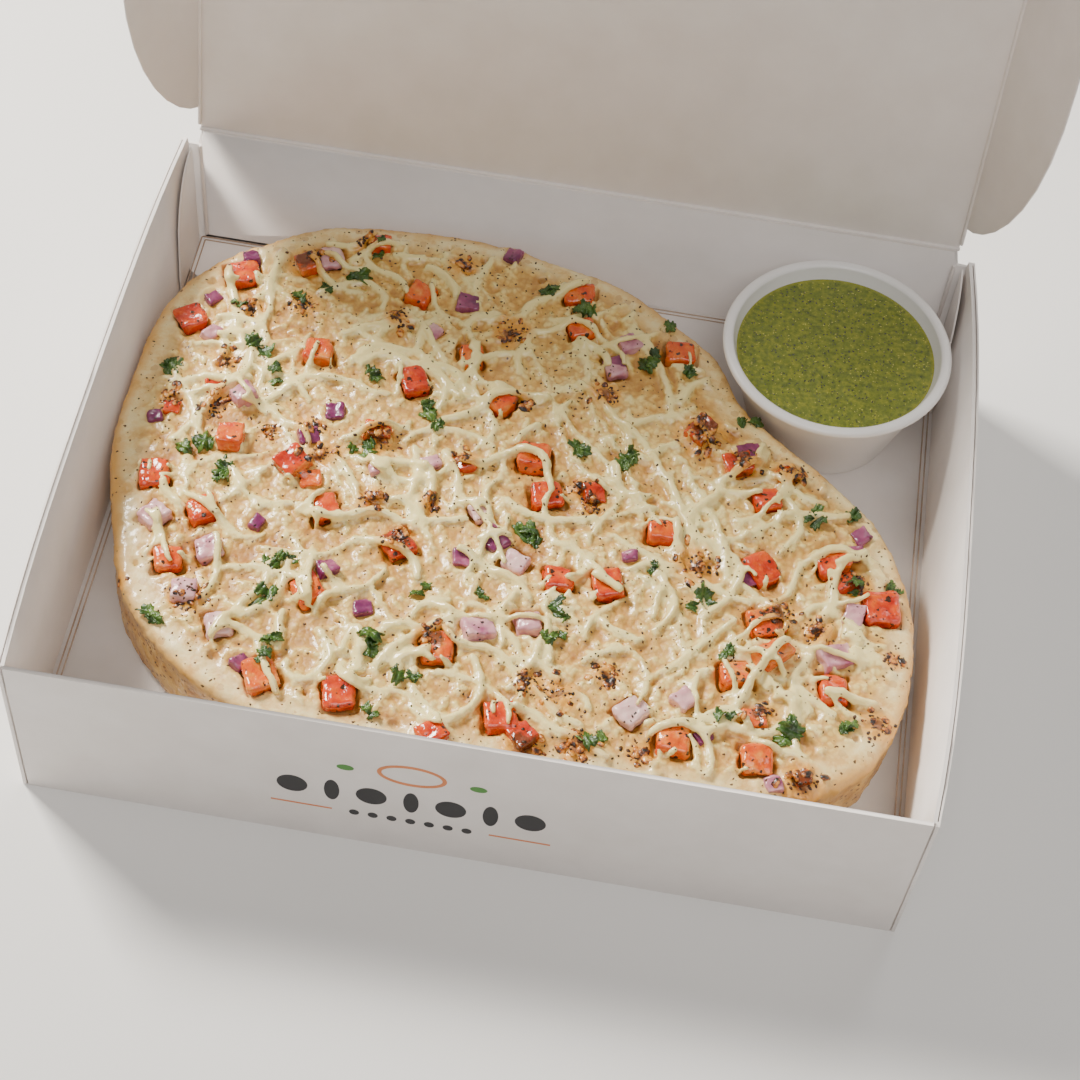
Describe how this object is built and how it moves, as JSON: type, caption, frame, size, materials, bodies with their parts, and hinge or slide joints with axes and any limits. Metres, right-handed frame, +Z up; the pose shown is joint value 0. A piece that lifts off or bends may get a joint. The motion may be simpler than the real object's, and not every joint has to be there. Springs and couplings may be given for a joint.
{
  "type": "boxed uttapam",
  "caption": "Cheese-topped oval uttapam with tomato, onion and coriander in an open hinged takeaway carton, with a round cup of green chutney.",
  "frame": {"origin": "middle of the tray's underside, on the surface that it stands on", "axes": "+X to the right, +Y to the back where the lid is hinged, +Z up"},
  "size_m": [0.2848, 0.265, 0.2887],
  "materials": {
    "carton_board": "white coated paperboard, matt",
    "cup": "smooth white paper cup, satin",
    "chutney": "wet herb chutney",
    "batter_and_cheese": "griddled batter and melted cheese, soft gloss",
    "tomato": "wet tomato dice",
    "onion": "wet onion dice",
    "coriander": "wilted green leaf"
  },
  "bodies": {
    "tray": {"carton_tray": "carton_board", "corner_flap_left": "carton_board", "corner_flap_right": "carton_board", "dip_cup": "cup", "green_chutney": "chutney", "uttapam": "batter_and_cheese", "tomato_01": "tomato", "tomato_02": "tomato", "tomato_03": "tomato", "tomato_04": "tomato", "tomato_05": "tomato", "tomato_06": "tomato", "tomato_07": "tomato", "tomato_08": "tomato", "tomato_09": "tomato", "tomato_10": "tomato", "tomato_11": "tomato", "tomato_12": "tomato", "tomato_13": "tomato", "tomato_14": "tomato", "tomato_15": "tomato", "tomato_16": "tomato", "tomato_17": "tomato", "tomato_18": "tomato", "tomato_19": "tomato", "tomato_20": "tomato", "tomato_21": "tomato", "tomato_22": "tomato", "tomato_23": "tomato", "tomato_24": "tomato", "tomato_25": "tomato", "tomato_26": "tomato", "tomato_27": "tomato", "tomato_28": "tomato", "tomato_29": "tomato", "tomato_30": "tomato", "tomato_31": "tomato", "tomato_32": "tomato", "tomato_33": "tomato", "tomato_34": "tomato", "onion_01": "onion", "onion_02": "onion", "onion_03": "onion", "onion_04": "onion", "onion_05": "onion", "onion_06": "onion", "onion_07": "onion", "onion_08": "onion", "onion_09": "onion", "coriander_01": "coriander", "coriander_02": "coriander", "coriander_03": "coriander", "coriander_04": "coriander", "coriander_05": "coriander", "coriander_06": "coriander", "coriander_07": "coriander"},
    "lid": {"lid_panel": "carton_board"},
    "ear_left": {"lid_ear_left": "carton_board"},
    "ear_right": {"lid_ear_right": "carton_board"},
    "tuck_flap": {"lid_tuck_flap": "carton_board"}
  },
  "joints": [
    {"name": "lid_hinge", "type": "hinge", "parent": "tray", "child": "lid", "pos_m": [0, 0.1073, 0.06415], "axis": [1, 0, 0], "range_deg": [-65, 103.5]},
    {"name": "ear_left_fold", "type": "hinge", "parent": "lid", "child": "ear_left", "pos_m": [-0.1258, 0.1073, 0.06415], "axis": [0, 0.2334, 0.9724], "range_deg": [-66, 104.5]},
    {"name": "ear_right_fold", "type": "hinge", "parent": "lid", "child": "ear_right", "pos_m": [0.1258, 0.1073, 0.06415], "axis": [0, -0.2334, -0.9724], "range_deg": [-66, 104.5]},
    {"name": "tuck_fold", "type": "hinge", "parent": "lid", "child": "tuck_flap", "pos_m": [0, 0.15679, 0.27029], "axis": [1, 0, 0], "range_deg": [-26, 40]}
  ],
  "couplings": [
    {"joint": "ear_left_fold", "follows": "lid_hinge", "ratio": 1},
    {"joint": "ear_right_fold", "follows": "lid_hinge", "ratio": 1},
    {"joint": "tuck_fold", "follows": "lid_hinge", "ratio": 0.367}
  ]
}
